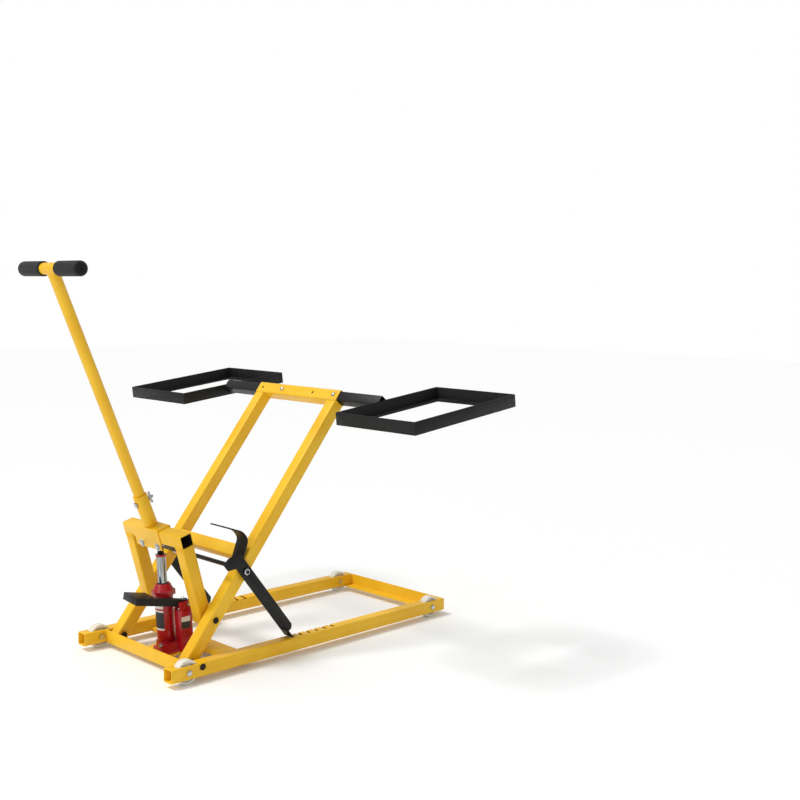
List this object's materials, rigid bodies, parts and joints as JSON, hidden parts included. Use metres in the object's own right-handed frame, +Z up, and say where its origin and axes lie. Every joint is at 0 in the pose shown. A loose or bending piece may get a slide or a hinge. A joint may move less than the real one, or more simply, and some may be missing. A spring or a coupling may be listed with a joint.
{
  "type": "lawn mower lift",
  "caption": "Foot-pumped jack lift with a hinged tube frame, sliding wheel trays, dragging safety latches and a push handle on a wheeled base.",
  "frame": {"origin": "on the floor under the middle of the whole lift's bounding box", "axes": "+Z up; +X from the pedal end towards the mower; -Y is the near side, where the step of the latches is"},
  "size_m": [1.2506, 1.3406, 1.1174],
  "materials": {
    "yellow": "gloss",
    "black": "satin",
    "red": "gloss",
    "steel": "bright zinc",
    "dark_steel": "black oxide",
    "nylon": "satin",
    "foam": "foam rubber"
  },
  "bodies": {
    "base": {"near_rail": "yellow", "far_rail": "yellow", "front_cross_angle": "yellow", "rear_cross_angle": "yellow", "middle_cross_channel": "yellow", "jack_plate": "yellow", "jack_base": "red", "jack_cylinder": "red", "jack_cap": "red", "pump_block": "red", "fulcrum_pin": "steel", "near_arm_pivot": "dark_steel", "near_arm_spacer": "steel", "front_near_axle": "steel", "rear_near_axle": "steel", "far_arm_pivot": "dark_steel", "far_arm_spacer": "steel", "front_far_axle": "steel", "rear_far_axle": "steel"},
    "lifting_frame": {"near_arm": "yellow", "far_arm": "yellow", "middle_bar": "yellow", "top_bar": "yellow", "near_leg_pivot": "dark_steel", "far_leg_pivot": "dark_steel", "near_latch_pivot": "steel", "far_latch_pivot": "steel", "near_lock_screw": "steel", "far_lock_screw": "steel"},
    "portal": {"near_portal_leg": "yellow", "far_portal_leg": "yellow", "portal_beam": "yellow", "handle_saddle": "yellow", "near_saddle_bolt": "steel", "far_saddle_bolt": "steel", "handle_sleeve": "yellow", "push_handle": "yellow", "near_grip": "foam", "far_grip": "foam", "clamp_bolt": "steel"},
    "wing_nut": {"wing_nut": "steel"},
    "near_tray": {"near_telescopic_tube": "black", "near_wheel_tray": "black"},
    "far_tray": {"far_telescopic_tube": "black", "far_wheel_tray": "black"},
    "latches": {"near_latch_bar": "black", "far_latch_bar": "black", "latch_strap": "black", "latch_step": "black"},
    "ram": {"jack_ram": "steel"},
    "extension_screw": {"extension_screw": "dark_steel"},
    "pump_lever": {"pump_lever": "black", "foot_pedal": "black"},
    "piston": {"pump_piston": "steel"},
    "release_valve": {"release_valve": "steel"},
    "front_near_wheel": {"front_near_wheel": "nylon"},
    "rear_near_wheel": {"rear_near_wheel": "nylon"},
    "front_far_wheel": {"front_far_wheel": "nylon"},
    "rear_far_wheel": {"rear_far_wheel": "nylon"}
  },
  "joints": [
    {"name": "arm_lift", "type": "hinge", "parent": "base", "child": "lifting_frame", "pos_m": [-0.32669, 0, 0.04171], "axis": [0, -1, 0], "range_deg": [-23, 4]},
    {"name": "portal_swing", "type": "hinge", "parent": "lifting_frame", "child": "portal", "pos_m": [-0.24744, 0, 0.14223], "axis": [0, -1, 0], "range_deg": [-6, 34]},
    {"name": "ram_extend", "type": "slide", "parent": "base", "child": "ram", "axis": [-0.0728, 0, 0.9973], "range_m": [-0.055, 0.01]},
    {"name": "screw_turn", "type": "hinge", "parent": "ram", "child": "extension_screw", "pos_m": [-0.27823, 0, 0.02759], "axis": [-0.0728, 0, 0.9973], "continuous": true},
    {"name": "latch_drag", "type": "hinge", "parent": "lifting_frame", "child": "latches", "pos_m": [-0.15086, 0, 0.26474], "axis": [0, -1, 0], "range_deg": [-9.5, 52]},
    {"name": "pump_stroke", "type": "hinge", "parent": "base", "child": "pump_lever", "pos_m": [-0.2512, -0.05189, 0.16492], "axis": [-0.1215, -0.9925, -0.0089], "range_deg": [-15, 19]},
    {"name": "piston_slide", "type": "slide", "parent": "base", "child": "piston", "axis": [-0.0728, 0, 0.9973], "range_m": [-0.0055, 0.0045]},
    {"name": "valve_turn", "type": "hinge", "parent": "base", "child": "release_valve", "pos_m": [-0.29293, -0.02204, 0.04657], "axis": [-0.9899, 0.1219, -0.0723], "range_deg": [0, 270]},
    {"name": "wing_nut_turn", "type": "hinge", "parent": "portal", "child": "wing_nut", "pos_m": [-0.34309, 0.022, 0.45483], "axis": [0.9259, 0, 0.3778], "continuous": true},
    {"name": "near_tray_slide", "type": "slide", "parent": "lifting_frame", "child": "near_tray", "axis": [0, -1, 0], "range_m": [-0.05, 0.08]},
    {"name": "front_near_wheel_spin", "type": "hinge", "parent": "base", "child": "front_near_wheel", "pos_m": [-0.36969, -0.221, 0.03371], "axis": [0, 1, 0], "continuous": true},
    {"name": "rear_near_wheel_spin", "type": "hinge", "parent": "base", "child": "rear_near_wheel", "pos_m": [0.57031, -0.221, 0.03371], "axis": [0, 1, 0], "continuous": true},
    {"name": "far_tray_slide", "type": "slide", "parent": "lifting_frame", "child": "far_tray", "axis": [0, 1, 0], "range_m": [-0.05, 0.08]},
    {"name": "front_far_wheel_spin", "type": "hinge", "parent": "base", "child": "front_far_wheel", "pos_m": [-0.36969, 0.221, 0.03371], "axis": [0, 1, 0], "continuous": true},
    {"name": "rear_far_wheel_spin", "type": "hinge", "parent": "base", "child": "rear_far_wheel", "pos_m": [0.57031, 0.221, 0.03371], "axis": [0, 1, 0], "continuous": true}
  ],
  "couplings": [
    {"joint": "portal_swing", "follows": "arm_lift", "ratio": -1.3845},
    {"joint": "ram_extend", "follows": "arm_lift", "m_per_rad": 0.122},
    {"joint": "latch_drag", "follows": "arm_lift", "ratio": -2.235},
    {"joint": "piston_slide", "follows": "pump_stroke", "m_per_rad": -0.014}
  ]
}
